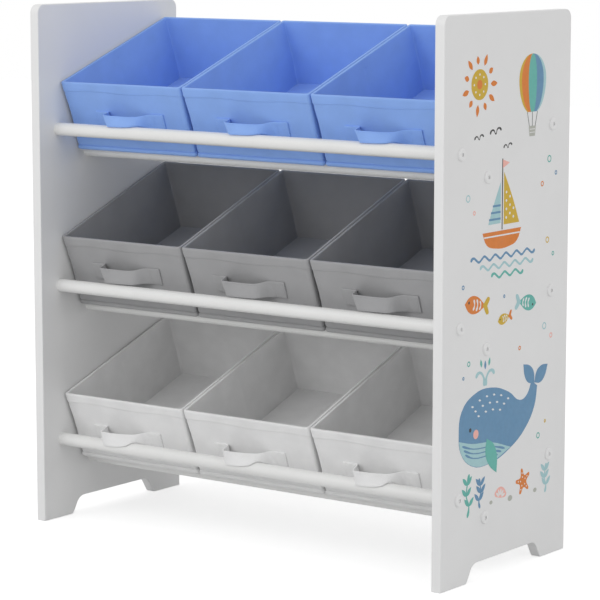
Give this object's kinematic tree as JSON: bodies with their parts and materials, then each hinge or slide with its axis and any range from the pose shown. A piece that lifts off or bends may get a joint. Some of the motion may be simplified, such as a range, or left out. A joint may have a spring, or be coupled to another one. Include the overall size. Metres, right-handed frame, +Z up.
{
  "type": "toy storage organizer",
  "caption": "Free-standing children's toy organizer: two side panels joined by steel rods that hold tilted rows of open fabric bins, which lift out by strap handles.",
  "frame": {"origin": "middle of the object's footprint, on the floor", "axes": "+Z up, +X to the right of someone facing the organizer, +Y to its back"},
  "size_m": [0.57, 0.2526, 0.6],
  "materials": {
    "panel": "white painted fibreboard, satin",
    "rod": "white powder-coated steel tube",
    "insert": "zinc-plated threaded insert",
    "bolt": "white painted connector bolt",
    "blue_fabric": "blue non-woven fabric",
    "grey_fabric": "grey non-woven fabric",
    "pale_fabric": "pale grey non-woven fabric",
    "board": "grey-brown pressed cardboard, unfinished"
  },
  "bodies": {
    "frame": {"left_side_panel": "panel", "right_side_panel": "panel", "front_rail_bottom": "rod", "support_rod_bottom": "rod", "rear_rod_bottom": "rod", "front_rail_middle": "rod", "support_rod_middle": "rod", "rear_rod_middle": "rod", "front_rail_top": "rod", "support_rod_top": "rod", "rear_rod_top": "rod", "left_rod_inserts": "insert", "left_panel_bolts": "bolt", "right_rod_inserts": "insert", "right_panel_bolts": "bolt"},
    "bottom_left_bin": {"bin_bottom_left": "pale_fabric", "wall_boards_bottom_left": "board", "base_board_bottom_left": "board", "handle_bottom_left": "pale_fabric"},
    "bottom_centre_bin": {"bin_bottom_centre": "pale_fabric", "wall_boards_bottom_centre": "board", "base_board_bottom_centre": "board", "handle_bottom_centre": "pale_fabric"},
    "bottom_right_bin": {"bin_bottom_right": "pale_fabric", "wall_boards_bottom_right": "board", "base_board_bottom_right": "board", "handle_bottom_right": "pale_fabric"},
    "middle_left_bin": {"bin_middle_left": "grey_fabric", "wall_boards_middle_left": "board", "base_board_middle_left": "board", "handle_middle_left": "grey_fabric"},
    "middle_centre_bin": {"bin_middle_centre": "grey_fabric", "wall_boards_middle_centre": "board", "base_board_middle_centre": "board", "handle_middle_centre": "grey_fabric"},
    "middle_right_bin": {"bin_middle_right": "grey_fabric", "wall_boards_middle_right": "board", "base_board_middle_right": "board", "handle_middle_right": "grey_fabric"},
    "top_left_bin": {"bin_top_left": "blue_fabric", "wall_boards_top_left": "board", "base_board_top_left": "board", "handle_top_left": "blue_fabric"},
    "top_centre_bin": {"bin_top_centre": "blue_fabric", "wall_boards_top_centre": "board", "base_board_top_centre": "board", "handle_top_centre": "blue_fabric"},
    "top_right_bin": {"bin_top_right": "blue_fabric", "wall_boards_top_right": "board", "base_board_top_right": "board", "handle_top_right": "blue_fabric"}
  },
  "joints": [
    {"name": "bottom_left_bin_lift", "type": "slide", "parent": "frame", "child": "bottom_left_bin", "axis": [0, -0.3489, 0.9372], "range_m": [0, 0.065]},
    {"name": "bottom_centre_bin_lift", "type": "slide", "parent": "frame", "child": "bottom_centre_bin", "axis": [0, -0.3489, 0.9372], "range_m": [0, 0.065]},
    {"name": "bottom_right_bin_lift", "type": "slide", "parent": "frame", "child": "bottom_right_bin", "axis": [0, -0.3489, 0.9372], "range_m": [0, 0.065]},
    {"name": "middle_left_bin_lift", "type": "slide", "parent": "frame", "child": "middle_left_bin", "axis": [0, -0.3489, 0.9372], "range_m": [0, 0.065]},
    {"name": "middle_centre_bin_lift", "type": "slide", "parent": "frame", "child": "middle_centre_bin", "axis": [0, -0.3489, 0.9372], "range_m": [0, 0.065]},
    {"name": "middle_right_bin_lift", "type": "slide", "parent": "frame", "child": "middle_right_bin", "axis": [0, -0.3489, 0.9372], "range_m": [0, 0.065]},
    {"name": "top_left_bin_lift", "type": "slide", "parent": "frame", "child": "top_left_bin", "axis": [0, -0.3489, 0.9372], "range_m": [0, 0.19]},
    {"name": "top_centre_bin_lift", "type": "slide", "parent": "frame", "child": "top_centre_bin", "axis": [0, -0.3489, 0.9372], "range_m": [0, 0.19]},
    {"name": "top_right_bin_lift", "type": "slide", "parent": "frame", "child": "top_right_bin", "axis": [0, -0.3489, 0.9372], "range_m": [0, 0.19]}
  ]
}
